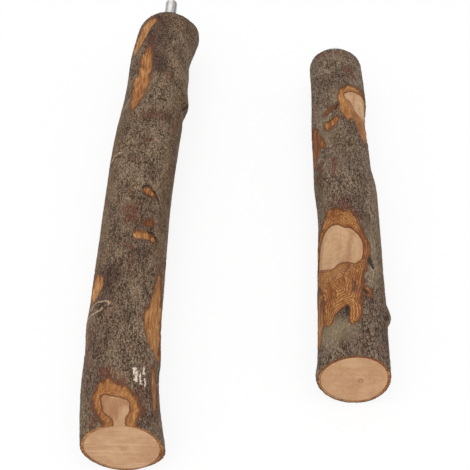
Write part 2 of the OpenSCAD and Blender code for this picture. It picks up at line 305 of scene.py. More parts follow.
# Sawn rim: share of the thickness that looks like wood, how much it varies, how light the rest is,
# where the dark outer edge begins, and the distance from bare wood on the inner wall
RIM_WOOD = 0.5
RIM_VARIES = 0.25
RIM_LIGHT = 0.3
RIM_DARK = 0.9
RIM_INSIDE = 0.4

# Saw marks: depth, most that they stand out, and their scale across and up the face
SAW_DEPTH = 0.03
SAW_OUT = 0.02
SAW_ACROSS = 0.15
SAW_UP = 1.4


def smooth_step(value, low, high):
    t = np.clip((value - low) / (high - low), 0, 1)
    return t * t * (3 - 2 * t)


def bell(distance, half_width):
    return np.exp(-((distance / half_width) ** 2) / 2)


def turn_between(a, angle):
    return np.abs((a - angle + 540) % 360 - 180)


def x_and_z(r, a):
    return r * np.sin(np.radians(a)), r * np.cos(np.radians(a))


# The branch's shape, by the same rules as the part's source
def bend_share(branch, s):
    return 1 - np.abs(2 * s / branch["length"] - 1) ** BOW_POWER


def bark_radius(branch, s, a):
    share = s / branch["length"]
    r = (branch["front_d"] + (branch["back_d"] - branch["front_d"]) * share) / 2
    for at, change, half_length in branch["swells"]:
        r = r + change * bell(s - at, half_length)
    for at, angle, height, half_length, half_width in branch["knots"]:
        r = r + height * bell(s - at, half_length) * bell(turn_between(a, angle), half_width)
    return r + RIPPLE * np.sin(np.radians(RIPPLE_LOBES * a + RIPPLE_TWIST * s))


def axis_x(branch, s):
    x = branch["bow"] * bend_share(branch, s)
    for at, shift, half_length in branch["sways"]:
        x = x + shift * bell(s - at, half_length)
    return x


def axis_z(branch, s):
    front = bark_radius(branch, 0, 180)
    back = bark_radius(branch, branch["length"], 180)
    return front + (back - front) * s / branch["length"] + ARCH * bend_share(branch, s)


def stub_floor(branch, s, a):
    """Radius of the flat cuts that took the side branches off"""
    floor = np.full(np.shape(s), np.inf)
    for at, angle, depth, arc in branch["stubs"]:
        rise = bark_radius(branch, at, angle) - depth + (s - at) ** 2 / (2 * arc)
        rise = rise + FRONT_RISE * np.clip(1 - s / FRONT_RUN, 0, 1)
        rise = rise - (axis_x(branch, s) - axis_x(branch, at)) * math.sin(math.radians(angle))
        rise = rise - (axis_z(branch, s) - axis_z(branch, at)) * math.cos(math.radians(angle))
        facing = np.cos(np.radians(a - angle))
        rise = rise / np.maximum(facing, LEAST_FACING)
        floor = np.where(facing > LEAST_FACING, np.minimum(floor, rise), floor)
    return floor


def saw_front(branch, z):
    """How far behind the front end the sawn face lies at a height over the axis"""
    lean = math.tan(math.radians(branch["slant"]))
    edge = 0 if branch["slant"] > 0 else 180
    return (bark_radius(branch, 0, edge) * math.cos(math.radians(edge)) - z) * lean - branch["front_out"]


def bolt_end(branch):
    """The middle of the bolt's outer end, from where it stands in the frame"""
    low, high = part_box(branch["side"] + "_hanger_bolt")
    return (low.x + high.x) / 2 / MM, high.y / MM, (low.z + high.z) / 2 / MM


def branch_place(branch):
    """The front end of the branch's axis"""
    x, y, z = bolt_end(branch)
    back = branch["length"]
    x = x - branch["bolt_shift"] - axis_x(branch, back)
    return x, y - branch["stud"] - back, z - axis_z(branch, back)


def in_place(branch, spine, x, s, z):
    px, py, pz = branch_place(branch)
    return np.stack([px + axis_x(branch, spine) + x, py + s, pz + axis_z(branch, spine) + z], axis=1)


def skin_points(branch, s, a, r):
    x, z = x_and_z(r, a)
    return in_place(branch, s, x, s, z)


def unevenness(points, kind):
    """Smooth noise from -1 to 1, in cells drawn out along the branch"""
    cell, stretch, seed = kind
    shift = seed * NOISE_SHIFT
    return np.array([noise.noise((x / cell + shift, y / (cell * stretch), z / cell)) for x, y, z in points])


# Marks on the bark
def smooth_curve(points, closed):
    """A Catmull-Rom curve through the points"""
    p = np.array(points, float)
    if closed:
        p = np.concatenate([p[-1:], p, p[:2]])
    else:
        p = np.concatenate([p[:1], p, p[-1:]])
    t = np.arange(CURVE_STEPS)[:, None] / CURVE_STEPS
    spans = []
    for a, b, c, d in zip(p, p[1:], p[2:], p[3:]):
        bend = a - 2.5 * b + 2 * c - d / 2
        twist = 1.5 * (b - c) + (d - a) / 2
        spans.append(b + t * (c - a) / 2 + t**2 * bend + t**3 * twist)
    spans.append(p[-2:-1])
    return np.concatenate(spans)


def curve_distance(curve, x, y):
    """Distance of points from a curve, and whether each lies inside it"""
    nearest = np.full(x.shape, np.inf)
    inside = np.zeros(x.shape, bool)
    for (ax, ay), (bx, by) in zip(curve, curve[1:]):
        dx, dy = bx - ax, by - ay
        t = np.clip(((x - ax) * dx + (y - ay) * dy) / max(dx * dx + dy * dy, TINY), 0, 1)
        nearest = np.minimum(nearest, np.hypot(x - ax - t * dx, y - ay - t * dy))
        crossed = (ay > y) != (by > y)
        inside ^= crossed & (x < ax + (y - ay) * dx / (dy if dy else TINY))
    return nearest, inside


def surface_marks(branch, s, a, points):
    """The marks at each point, with the depth of bark taken off.

    edge is the distance inside the nearest peel, rim the distance from bare wood, both in millimetres.
    """
    arc = math.radians(branch["front_d"] / 2)
    wide = unevenness(points, WIDE_RAG)
    fine = unevenness(points, FINE_RAG)
    sideways = unevenness(points, SIDE_RAG)
    marks = {name: np.zeros(len(s)) for name in MARKS}
    marks["edge"] -= EDGE_REACH
    marks["rim"] += RIM_REACH
    depth = np.zeros(len(s))

    def distance(outline, closed, margin, ragged):
        x = s + ragged * (RAG_ALONG[0] * wide + RAG_ALONG[1] * fine)
        y = a * arc + ragged * (RAG_ROUND[0] * sideways + RAG_ROUND[1] * fine)
        curve = smooth_curve(outline, closed) * (1, arc)
        low, high = curve.min(0) - margin, curve.max(0) + margin
        close = np.flatnonzero((x > low[0]) & (x < high[0]) & (y > low[1]) & (y < high[1]))
        away, inside = curve_distance(curve, x[close], y[close])
        return close, np.where(inside, away, -away) if closed else away

    for peeled, lightness, curl, outline in branch["peels"]:
        close, within = distance(outline, True, EDGE_REACH, PEEL_RAG)
        deepest = within > marks["edge"][close]
        for name, value in (("tan", lightness), ("curl", curl)):
            marks[name][close] = np.where(deepest, value, marks[name][close])
        marks["edge"][close] = np.clip(np.maximum(marks["edge"][close], within), -EDGE_REACH, EDGE_REACH)
        depth[close] = np.maximum(depth[close], peeled * smooth_step(within, *PEEL_SLOPE))
    for lightness, outline in branch["pale"]:
        close, within = distance(outline, True, RIM_REACH, PALE_RAG)
        marks["tan"][close] = np.where(within > 0, lightness, marks["tan"][close])
        depth[close] += (PALE_PEEL - depth[close]) * smooth_step(within, *PALE_SLOPE)
        marks["rim"][close] = np.minimum(marks["rim"][close], -within)
    for mark, streaks in branch["streaks"].items():
        for half_width, strength, line in streaks:
            close, away = distance(line, False, STREAK_MARGIN * half_width, STREAK_RAG)
            low, high = (share * half_width for share in STREAK_FADE)
            share = strength * (1 - smooth_step(away, low, high))
            marks[mark][close] = np.maximum(marks[mark][close], share)
    return marks, depth


# Meshes start as a flat grid: rows run over a piece's profile, columns go round it
def profile_grid(rows, columns):
    bm = bmesh.new()
    for name in MARKS:
        bm.verts.layers.float.new(name)
    bmesh.ops.create_grid(bm, x_segments=rows, y_segments=columns, size=0.5)
    row = np.array([round((v.co.x + 0.5) * rows) for v in bm.verts])
    angle = np.array([v.co.y * 360 for v in bm.verts])
    return bm, row, angle


def lay_out(bm, points, marks):
    layers = [(bm.verts.layers.float[name], values) for name, values in marks.items()]
    for i, v in enumerate(bm.verts):
        v.co = points[i] * MM
        for layer, values in layers:
            v[layer] = values[i]


def close_up(bm):
    bmesh.ops.remove_doubles(bm, verts=bm.verts, dist=WELD)
    bmesh.ops.recalc_face_normals(bm, faces=bm.faces)
    if bm.calc_volume(signed=True) < 0:
        bmesh.ops.reverse_faces(bm, faces=bm.faces)


def new_object(name, data):
    made = bpy.data.objects.new(name, data)
    bpy.context.scene.collection.objects.link(made)
    return made


def mesh_object(name, bm, material):
    mesh = bpy.data.meshes.new(name)
    bm.to_mesh(mesh)
    bm.free()
    mesh.materials.append(material)
    return new_object(name, mesh)


def finish_piece(bm, branch, name, material, node, crease):
    body, name, node = (branch["side"] + "_" + word for word in ("perch", name, node))
    piece = mesh_object(name, bm, material)
    piece.data.shade_smooth()
    piece.data.set_sharp_from_angle(angle=math.radians(crease))
    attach(piece, body)
    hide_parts(node)


BARK_ROWS = 420
INNER_ROWS = 100
RIM_ROWS = 4
ROUND_COLUMNS = 168


def lump_height(branch, s, a):
    """Small humps on the skin, steeper on one side"""
    height = np.zeros(len(s))
    for at, angle, top, before, behind, half_width in branch["lumps"]:
        along = bell(s - at, np.where(s < at, before, behind))
        height += top * along * bell(turn_between(a, angle), half_width)
    return height


def bark_relief(branch, s, a, points, marks, depth):
    """Height of the bark's surface over its plain form, and how deep each fissure is"""
    whole = 1 - smooth_step(depth, *SKIN_GONE)
    crack = np.abs(unevenness(points, CRACKS))
    fissure = smooth_step(FISSURE_WIDTH - crack, 0, FISSURE_WIDTH)
    fissure = fissure * smooth_step(unevenness(points, CRACKED_PARTS), *FISSURED)
    flake = unevenness(points, FLAKES)
    broad = unevenness(points, BROAD_WAVES)
    rough = BARK_LEVEL - FISSURE_DEPTH * fissure + FLAKE_HEIGHT * flake + BROAD_HEIGHT * broad
    rough = rough - SHADOW_LINE_DENT * marks["shadow_line"] + LIGHT_RISE * marks["light"]
    rough = np.minimum(rough, ROUGH_TOP) * (1 - SMOOTHED * marks["smooth"]) + lump_height(branch, s, a)
    fibre = FIBRE_HEIGHT * unevenness(points, FIBRES)
    ridge = RIDGE_HEIGHT * np.sin(2 * math.pi * marks["rim"] / RIDGE_PITCH)
    ridge = ridge * (1 - smooth_step(marks["rim"], *RIDGE_REACH))
    bare = fibre + ridge * smooth_step(depth, *RIDGE_FROM) * (1 - smooth_step(depth, *RIDGE_TO))
    return rough * whole + bare * (1 - whole), fissure * whole


def make_bark(branch, material):
    """The bark: outer wall, back rim, inner wall and front rim, open where the stubs are cut through"""
    inner_end = BARK_ROWS + 1 + INNER_ROWS
    last = inner_end + RIM_ROWS
    bm, row, a = profile_grid(last, ROUND_COLUMNS)
    outer = row <= BARK_ROWS
    along = np.where(outer, row / BARK_ROWS, np.clip((inner_end - row) / INNER_ROWS, 0, 1))
    s = along * branch["length"]
    natural = bark_radius(branch, s, a)
    inner_r = natural - BARK_T
    points = skin_points(branch, s, a, natural)
    marks, depth = surface_marks(branch, s, a, points)
    floor = stub_floor(branch, s, a)
    relief, marks["crack"] = bark_relief(branch, s, a, points, marks, depth)
    outer_r = natural + relief - depth
    outer_r = np.maximum(np.minimum(outer_r, floor + CUT_STEP), inner_r + LEAST_SKIN)

    # Across the sawn rim the bark goes from wood through orange to its dark outer edge
    across = np.where(outer, 1, np.clip((row - inner_end) / RIM_ROWS, 0, 1))
    r = inner_r + (outer_r - inner_r) * across
    thin = RIM_WOOD + RIM_VARIES * unevenness(points, RIM_WAVES)
    light = np.full(len(s), RIM_LIGHT)
    for angle, half_width, lightness in branch["thick_rims"]:
        share = bell(turn_between(a, angle), half_width)
        thin = thin - RIM_WOOD * share
        light = light + (lightness - light) * share
    sawn = ~outer & (row < last)
    rim = np.where(row > inner_end, (across - thin) * BARK_T, RIM_INSIDE)
    edge = (RIM_DARK - across) * 2 * BARK_T
    for name, value in (("rim", rim), ("edge", edge), ("tan", light), ("curl", 0.0), ("sawn", 1.0)):
        marks[name] = np.where(sawn, value, marks[name])

    _, height = x_and_z(r, a)
    s = s + saw_front(branch, height) * np.clip(1 - s / SLANT_RUN, 0, 1)
    lay_out(bm, skin_points(branch, s, a, r), marks)

    # The stubs are cut right through the bark
    open_through = (floor < inner_r - BARK_GAP) & (s > FRONT_LIP - branch["front_out"])
    cut = {v for v, gone in zip(bm.verts, open_through) if gone}
    gone = [f for f in bm.faces if any(v in cut for v in f.verts)]
    bmesh.ops.delete(bm, geom=gone, context="FACES")
    bmesh.ops.remove_doubles(bm, verts=bm.verts, dist=WELD)
    even_out(bm, EVEN_ROUNDS)
    for at, _, _, _ in branch["stubs"]:
        lip = [e for e in bm.edges if e.is_boundary and abs(stub_offset(branch, e, at)) < LIP_REACH]
        bmesh.ops.bridge_loops(bm, edges=lip)
    close_up(bm)
    finish_piece(bm, branch, "bark_skin", material, "bark", CREASE)


def even_out(bm, rounds):
    """Takes the grid's steps out of the open edges"""
    for _ in range(rounds):
        moved = {}
        for v in bm.verts:
            ends = [e.other_vert(v).co for e in v.link_edges if e.is_boundary]
            if len(ends) == 2:
                moved[v] = v.co * 0.5 + (ends[0] + ends[1]) * 0.25
        for v, place in moved.items():
            v.co = place


def stub_offset(branch, edge, at):
    return (edge.verts[0].co.y + edge.verts[1].co.y) / 2 / MM - branch_place(branch)[1] - at


WOOD_ROWS = 220
CAP_ROWS = 26
HOLE_ROWS = 8


def make_wood(branch, material):
    """The wood under the bark: sawn front, side, sawn back and the bolt's hole, closed at both middles"""
    side_end = CAP_ROWS + WOOD_ROWS
    cap_end = side_end + CAP_ROWS
    last = cap_end + HOLE_ROWS + 1
    bm, row, a = profile_grid(last, ROUND_COLUMNS)
    length = branch["length"]
    s = np.clip((row - CAP_ROWS) / WOOD_ROWS, 0, 1) * length
    natural = bark_radius(branch, s, a)
    floor = stub_floor(branch, s, a)
    inner_r = natural - BARK_T
    marks, depth = surface_marks(branch, s, a, skin_points(branch, s, a, natural))
    under_skin = np.maximum(natural - depth, inner_r + LEAST_SKIN) - CUT_STEP
    r = np.where(floor < inner_r + CUT_OVERLAP, np.minimum(floor, under_skin), inner_r - BARK_GAP)
    on_face = (row <= CAP_ROWS) | (row >= side_end)
    for name, value in (("edge", EDGE_REACH), ("rim", -RIM_REACH), ("tan", 1.0), ("sawn", 1.0)):
        marks[name] = np.where(on_face, value, marks[name])

    # Front face from the pith out, back face from the bark in to the bolt's hole
    front_share = np.clip(row / CAP_ROWS, 0, 1)
    x, z = x_and_z(r, a)
    pith_x, pith_z = branch["pith"]
    x = pith_x + (x - pith_x) * front_share
    z = pith_z + (z - pith_z) * front_share
    in_share = np.clip((row - side_end) / CAP_ROWS, 0, 1)
    hole_x, hole_z = x_and_z(BOLT_R + BOLT_ROOM, a)
    x = x + (branch["bolt_shift"] + hole_x - x) * in_share
    z = z + (hole_z - z) * in_share
    deep = np.clip((row - cap_end) / HOLE_ROWS, 0, 1)
    x = np.where(row == last, branch["bolt_shift"], x)
    z = np.where(row == last, 0, z)
    s = s - deep * (branch["bolt_length"] - branch["stud"] + BOLT_ROOM)
    saw_marks = SAW_DEPTH * unevenness(np.stack([x * SAW_ACROSS, s, z * SAW_UP], axis=1), SAW_WAVES)
    s = s + np.where(row < CAP_ROWS, np.maximum(saw_marks, -SAW_OUT), 0)
    s = s + saw_front(branch, z) * np.clip(1 - s / SLANT_RUN, 0, 1)
    spine = np.where(row > side_end, length, s)
    lay_out(bm, in_place(branch, spine, x, s, z), marks)
    close_up(bm)
    finish_piece(bm, branch, "branch_wood", material, "wood", CREASE)


BOLT_STEP = 0.125
BOLT_COLUMNS = 40


def make_bolt(branch, material):
    """The hanger bolt: pointed wood screw, plain shank, and machine thread with a chamfered end"""
    in_wood = branch["bolt_length"] - branch["stud"]
    rows = round(branch["bolt_length"] / BOLT_STEP)
    bm, row, a = profile_grid(rows + 1, BOLT_COLUMNS)
    y = np.minimum(row, rows) * BOLT_STEP - in_wood
    end = branch["stud"]
    outline_y = (-in_wood, -in_wood + BOLT_POINT, end - BOLT_CHAMFER, end)
    envelope = np.interp(y, outline_y, (0, BOLT_R, BOLT_R, BOLT_R - BOLT_CHAMFER))
    screw = np.abs((y / SCREW_PITCH - a / 360) % 1 - 0.5)
    coarse = envelope - SCREW_DEPTH * np.clip(screw / SCREW_FLANK, 0, 1) * np.clip(envelope / BOLT_R, 0, 1)
    vee = np.abs((y / THREAD_PITCH - a / 360) % 1 - 0.5) * 2
    thread = BOLT_R - THREAD_DEPTH * np.clip(vee * THREAD_SLOPE - THREAD_FLAT, 0, 1)
    r = np.where(y < -SHANK_IN, coarse, np.where(y < SHANK_OUT, SHANK_R, np.minimum(envelope, thread)))
    r = np.where(row > rows, 0, r)
    end_x, end_y, end_z = bolt_end(branch)
    x, z = x_and_z(r, a)
    lay_out(bm, np.stack([end_x + x, end_y - end + y, end_z + z], axis=1), {})
    close_up(bm)
    finish_piece(bm, branch, "threaded_bolt", material, "hanger_bolt", BOLT_CREASE)


# Noises of the materials are (stretch along each axis, scale, detail, roughness, distortion)
GRAINS = {
    "dust": ((1, 0.6, 1), 5200, 3, 0.6, 0),
    "streak": ((1, 0.06, 1), 2000, 2, 0.6, 0.2),
    "flake": ((1, 0.36, 1), 1900, 3, 0.7, 0.3),
    "fleck": ((1, 0.5, 1), 1050, 2, 0.6, 0.4),
    "tint": ((1, 0.5, 1), 330, 3, 0.6, 0.4),
    "shade": ((1, 0.5, 1), 170, 2, 0.5, 0.3),
    "patch": ((1, 1, 1), 60, 3, 0.6, 0),
    "fine": ((1, 0.6, 1), 1500, 2, 0.6, 0.4),
    "fibre": ((1, 0.12, 1), 1200, 2, 0.6, 0.5),
    "cloud": ((1, 0.5, 1), 260, 3, 0.6, 0.6),
    "swirl": ((1, 0.45, 1), 120, 0.5, 0.5, 1.2),
    "bent": ((1, 1, 1), 110, 2, 0.5, 0),
    "mottle": ((1, 1, 1), 420, 3, 0.6, 0),
    "saw": ((0.08, 1, 1), 700, 2, 0.6, 0.3),
    "band": ((0.10, 1, 1), 260, 2, 0.5, 0.3),
    "brushed": ((1, 0.3, 1), 1600, 2, 0.6, 0),
    "bolt_cloud": ((1, 1, 1), 300, 3, 0.6, 0),
    "plate_cloud": ((1, 1, 1), 240, 3, 0.6, 0),
}
SPECK_STRETCH = (1, 0.42, 1)
SPECK_SCALE = 3200
TEAR_SCALE = 3500
TEAR_REACH = 0.0005
# In metres: pitch and wander of the growth rings, the ring round the pith and its soft edge
RING_PITCH = 0.0017
RING_WANDERS = 0.004
PITH_RING = 0.0008
PITH_EDGE = (0.0005, 0.0001)
# Bumps are (distance, strength)
BARK_BUMP = (0.0003, 0.8)
WOOD_BUMP = (0.0001, 0.6)
STEEL_BUMP = (0.00004, 0.3)
# How dark worn steel is, and how far its roughness varies
WORN = 0.86
ROUGH_VARIES = 0.16


# Materials
def tone(red, green, blue):
    """A colour as seen on screen, 0 to 255, in linear shares"""
    shares = [c / 255 for c in (red, green, blue)]
    linear = [c / 12.92 if c <= 0.04045 else ((c + 0.055) / 1.055) ** 2.4 for c in shares]
    return (*linear, 1.0)


class Wiring:
    """Adds nodes to a tree and joins them"""

    def __init__(self, tree):
        self.tree = tree

    def node(self, kind, inputs=None, **settings):
        made = self.tree.nodes.new(kind)
        for key, value in settings.items():
            setattr(made, key, value)
        for key, value in (inputs or {}).items():
            if isinstance(value, bpy.types.NodeSocket):
                self.tree.links.new(value, made.inputs[key])
            else:
                made.inputs[key].default_value = value
        return made

    def link(self, source, target):
        self.tree.links.new(source, target)

    def group(self, tree, values=None):
        return self.node("ShaderNodeGroup", values, node_tree=tree).outputs

    def math(self, operation, a, b=0.0):
        return self.node("ShaderNodeMath", {0: a, 1: b}, operation=operation).outputs[0]

    def add(self, a, b):
        return self.math("ADD", a, b)

    def times(self, a, b):
        return self.math("MULTIPLY", a, b)

    def vector(self, operation, a, b):
        return self.node("ShaderNodeVectorMath", {0: a, 1: b}, operation=operation).outputs[0]

    def step(self, value, low, high):
        inputs = {"Value": value, "From Min": low, "From Max": high}
        return self.node("ShaderNodeMapRange", inputs, interpolation_type="SMOOTHSTEP").outputs["Result"]

    def mix(self, share, a, b, blend="MIX"):
        inputs = {0: share, 6: a, 7: b}
        return self.node("ShaderNodeMix", inputs, data_type="RGBA", blend_type=blend).outputs[2]

    def tint(self, colour, share, strength, other, blend="MIX"):
        """The colour with another laid over it"""
        return self.mix(self.times(share, strength), colour, other, blend)

    def ramp(self, value, stops):
        made = self.node("ShaderNodeValToRGB", {"Fac": value})
        elements = made.color_ramp.elements
        elements[0].position, elements[0].color = stops[0]
        elements[1].position, elements[1].color = stops[-1]
        for position, colour in stops[1:-1]:
            elements.new(position).color = colour
        return made.outputs["Color"]

    def grain(self, name):
        stretch, *values = GRAINS[name]
        inputs = dict(zip(("Scale", "Detail", "Roughness", "Distortion"), values))
        inputs["Vector"] = self.stretched(stretch)
        return self.node("ShaderNodeTexNoise", inputs).outputs["Fac"]

    def grains(self, names):
        return [self.grain(name) for name in names.split()]

    def cells(self, vector, scale):
        """Two random values for each grain of the surface"""
        made = self.node("ShaderNodeTexVoronoi", {"Vector": vector, "Scale": scale})
        parts = self.node("ShaderNodeSeparateColor", {"Color": made.outputs["Color"]}).outputs
        return parts["Red"], parts["Green"]

    def torn(self, vector, scale, reach):
        """The vector pushed about, so that what lies along it has torn edges"""
        push = self.node("ShaderNodeTexNoise", {"Vector": vector, "Scale": scale}).outputs["Color"]
        push = self.vector("SUBTRACT", push, (0.5, 0.5, 0.5))
        push = self.vector("MULTIPLY", push, (reach, reach, reach))
        return self.vector("ADD", vector, push)

    def around(self, value, spread):
        """A value between 0 and 1 spread wider or narrower around 0"""
        return self.times(self.math("SUBTRACT", value, 0.5), spread)

    def stretched(self, scale):
        where = self.node("ShaderNodeTexCoord").outputs["Object"]
        return self.node("ShaderNodeMapping", {"Vector": where, "Scale": scale}).outputs["Vector"]

    def mark(self, name):
        return self.node("ShaderNodeAttribute", attribute_name=name).outputs["Fac"]


def new_group(name, inputs, outputs):
    group = bpy.data.node_groups.new(name, "ShaderNodeTree")
    for way, sockets in (("INPUT", inputs), ("OUTPUT", outputs)):
        for label, kind in sockets:
            group.interface.new_socket(label, in_out=way, socket_type=kind)
    wiring = Wiring(group)
    return group, wiring, wiring.node("NodeGroupInput").outputs, wiring.node("NodeGroupOutput").inputs


COLOUR = "NodeSocketColor"
VALUE = "NodeSocketFloat"


def bark_group():
    """Grained outer bark with tints, stains and painted shadow lines, its fissures darkened partly as
    painted shade
    """
    inputs = [("Body", COLOUR), ("Dark", COLOUR), ("Pale", COLOUR), ("Cool", COLOUR), ("Rust", COLOUR)]
    group, w, given, out = new_group("outer_bark", inputs, [("Color", COLOUR), ("Height", VALUE)])
    speck, hue = w.cells(w.torn(w.stretched(SPECK_STRETCH), TEAR_SCALE, TEAR_REACH), SPECK_SCALE)
    dust, streak, flake, fleck = w.grains("dust streak flake fleck")
    tint, shade, patch = w.grains("tint shade patch")
    colour = w.mix(w.step(patch, 0.40, 0.60), given["Body"], given["Cool"])
    warm = w.add(tint, w.around(hue, 0.3))
    colour = w.tint(colour, w.step(warm, 0.52, 0.72), 0.7, given["Rust"])
    colour = w.tint(colour, w.step(warm, 0.46, 0.28), 0.4, tone(104, 98, 76))
    light = w.add(w.around(speck, 1.2), w.add(w.around(streak, 1.3), w.around(flake, 1.0)))
    light = w.add(light, w.around(dust, 0.6))
    colour = w.tint(colour, w.step(light, 0.0, 0.4), 0.9, given["Pale"])
    colour = w.tint(colour, w.step(light, 0.0, -0.4), 0.9, given["Dark"])
    # Fissures darkened: partly the bark's own darker colour, partly painted shade in the recesses
    colour = w.tint(colour, w.mark("crack"), 0.3, given["Dark"])
    colour = w.tint(colour, w.step(shade, 0.50, 0.66), 0.33, given["Dark"])
    colour = w.tint(colour, w.step(shade, 0.48, 0.34), 0.24, given["Pale"])
    colour = w.tint(colour, w.mark("smooth"), 0.5, tone(158, 141, 110))
    olive = w.times(w.mark("olive"), w.step(streak, 0.44, 0.56))
    colour = w.tint(colour, olive, 0.7, tone(104, 77, 46))
    colour = w.tint(colour, w.mark("bruise"), 0.75, tone(166, 146, 152), "MULTIPLY")
    rust = w.times(w.mark("rust"), w.step(fleck, 0.41, 0.54))
    colour = w.tint(colour, rust, 0.85, tone(104, 57, 40))
    fringe = w.step(w.add(w.mark("edge"), w.around(fleck, 3.0)), -1.7, 0.0)
    colour = w.tint(colour, fringe, 0.75, tone(100, 62, 44))
    ragged = w.around(flake, 2.4)
    # Painted shadow: ragged dark lines where shade falls along ledges, peel edges and the back rim
    shadow_line = w.step(w.add(w.mark("shadow_line"), ragged), 0.25, 0.7)
    colour = w.tint(colour, shadow_line, 0.9, tone(46, 34, 26))
    fresh = w.step(w.add(w.mark("light"), w.times(ragged, 0.4)), 0.25, 0.6)
    colour = w.tint(colour, fresh, 0.8, tone(196, 166, 136))
    broken = w.add(w.around(speck, 0.8), w.add(ragged, w.around(streak, 2.0)))
    chip = w.step(w.add(w.mark("chip"), broken), 0.5, 0.75)
    chip = w.times(chip, w.step(w.mark("chip"), 0.1, 0.4))
    colour = w.tint(colour, chip, 0.95, tone(238, 218, 198))
    height = w.add(flake, w.times(streak, 0.7))
    w.link(colour, out["Color"])
    w.link(height, out["Height"])
    return group


def peel_group():
    """The layers under the bark: dark edge, orange inner bark with fibres, dark line, then wood"""
    outputs = [("Color", COLOUR), ("Share", VALUE), ("Height", VALUE)]
    group, w, _, out = new_group("peeled_layers", [], outputs)
    fine, fibre, cloud, swirl = w.grains("fine fibre cloud swirl")
    jitter = w.around(fine, 1.6)
    edge = w.add(w.mark("edge"), w.add(jitter, w.around(cloud, 1.5)))
    rim = w.add(w.mark("rim"), w.times(jitter, 0.3))
    calm = w.math("SUBTRACT", 1.0, w.times(w.mark("curl"), 0.75))
    lie = w.add(w.around(cloud, 1.0), w.times(w.around(fibre, 1.9), calm))
    orange = w.ramp(w.add(w.mark("tan"), lie), [
        (0.0, tone(110, 62, 33)),
        (0.3, tone(140, 85, 45)),
        (0.6, tone(170, 116, 66)),
        (1.0, tone(206, 152, 96)),
    ])
    nearest = w.math("MINIMUM", w.mark("rim"), w.mark("edge"))
    phase = w.add(w.times(nearest, 6.0), w.times(swirl, 34.0))
    wave = w.math("SINE", w.add(phase, w.times(fine, 7.0)))
    shown = w.times(w.mark("curl"), w.step(cloud, 0.34, 0.50))
    line = w.times(w.step(wave, 0.35, 0.95), shown)
    orange = w.tint(orange, line, 0.75, tone(214, 158, 98))
    gap = w.times(w.step(wave, -0.3, -0.95), shown)
    orange = w.tint(orange, gap, 0.5, tone(100, 52, 24))
    lip = w.times(w.step(rim, 2.0, 0.8), w.mark("curl"))
    orange = w.tint(orange, lip, 0.4, tone(132, 74, 40))
    orange = w.tint(orange, w.step(fine, 0.46, 0.36), 0.5, tone(104, 60, 34))
    orange = w.tint(orange, w.step(edge, 0.8, 0.0), 0.75, tone(94, 54, 34))
    around = w.math("ABSOLUTE", w.math("SUBTRACT", rim, 0.15))
    whole = w.math("SUBTRACT", 0.85, w.times(w.mark("sawn"), 0.6))
    orange = w.tint(orange, w.step(around, 0.5, 0.15), whole, tone(104, 60, 36))
    pale = w.mix(w.mark("tan"), tone(160, 112, 76), tone(206, 166, 126))
    pale = w.tint(pale, w.step(cloud, 0.48, 0.62), 0.55, tone(172, 128, 92))
    pale = w.tint(pale, w.step(cloud, 0.46, 0.34), 0.4, tone(208, 170, 132))
    ripple = w.math("SINE", w.add(w.times(w.mark("rim"), 2.6), w.times(cloud, 9.0)))
    pale = w.tint(pale, w.step(ripple, 0.2, 0.9), 0.25, tone(168, 122, 86))
    pale = w.tint(pale, w.step(swirl, 0.48, 0.74), 0.6, tone(164, 115, 82))
    pale = w.tint(pale, w.step(swirl, 0.50, 0.26), 0.45, tone(216, 178, 138))
    pale = w.tint(pale, w.step(fibre, 0.5, 0.64), 0.15, tone(208, 170, 132))
    pale = w.tint(pale, w.step(fibre, 0.46, 0.36), 0.15, tone(160, 114, 78))
    wood = w.step(rim, 0.1, -0.25)
    colour = w.mix(wood, orange, pale)
    rust = w.times(w.mark("rust"), w.step(cloud, 0.4, 0.6))
    colour = w.tint(colour, rust, 0.7, tone(104, 60, 46))
    # Painted shadow: the same dark shadow lines carried over the peeled layers
    shadow_line = w.step(w.add(w.mark("shadow_line"), jitter), 0.3, 0.9)
    colour = w.tint(colour, shadow_line, 0.85, tone(48, 32, 24))
    fuzz = w.add(w.times(fibre, 0.6), w.times(fine, 0.5))
    w.link(colour, out["Color"])
    w.link(w.math("MAXIMUM", w.step(edge, -0.4, 0.0), wood), out["Share"])
    w.link(w.times(fuzz, w.math("SUBTRACT", 1.0, w.times(wood, 0.6))), out["Height"])
    return group


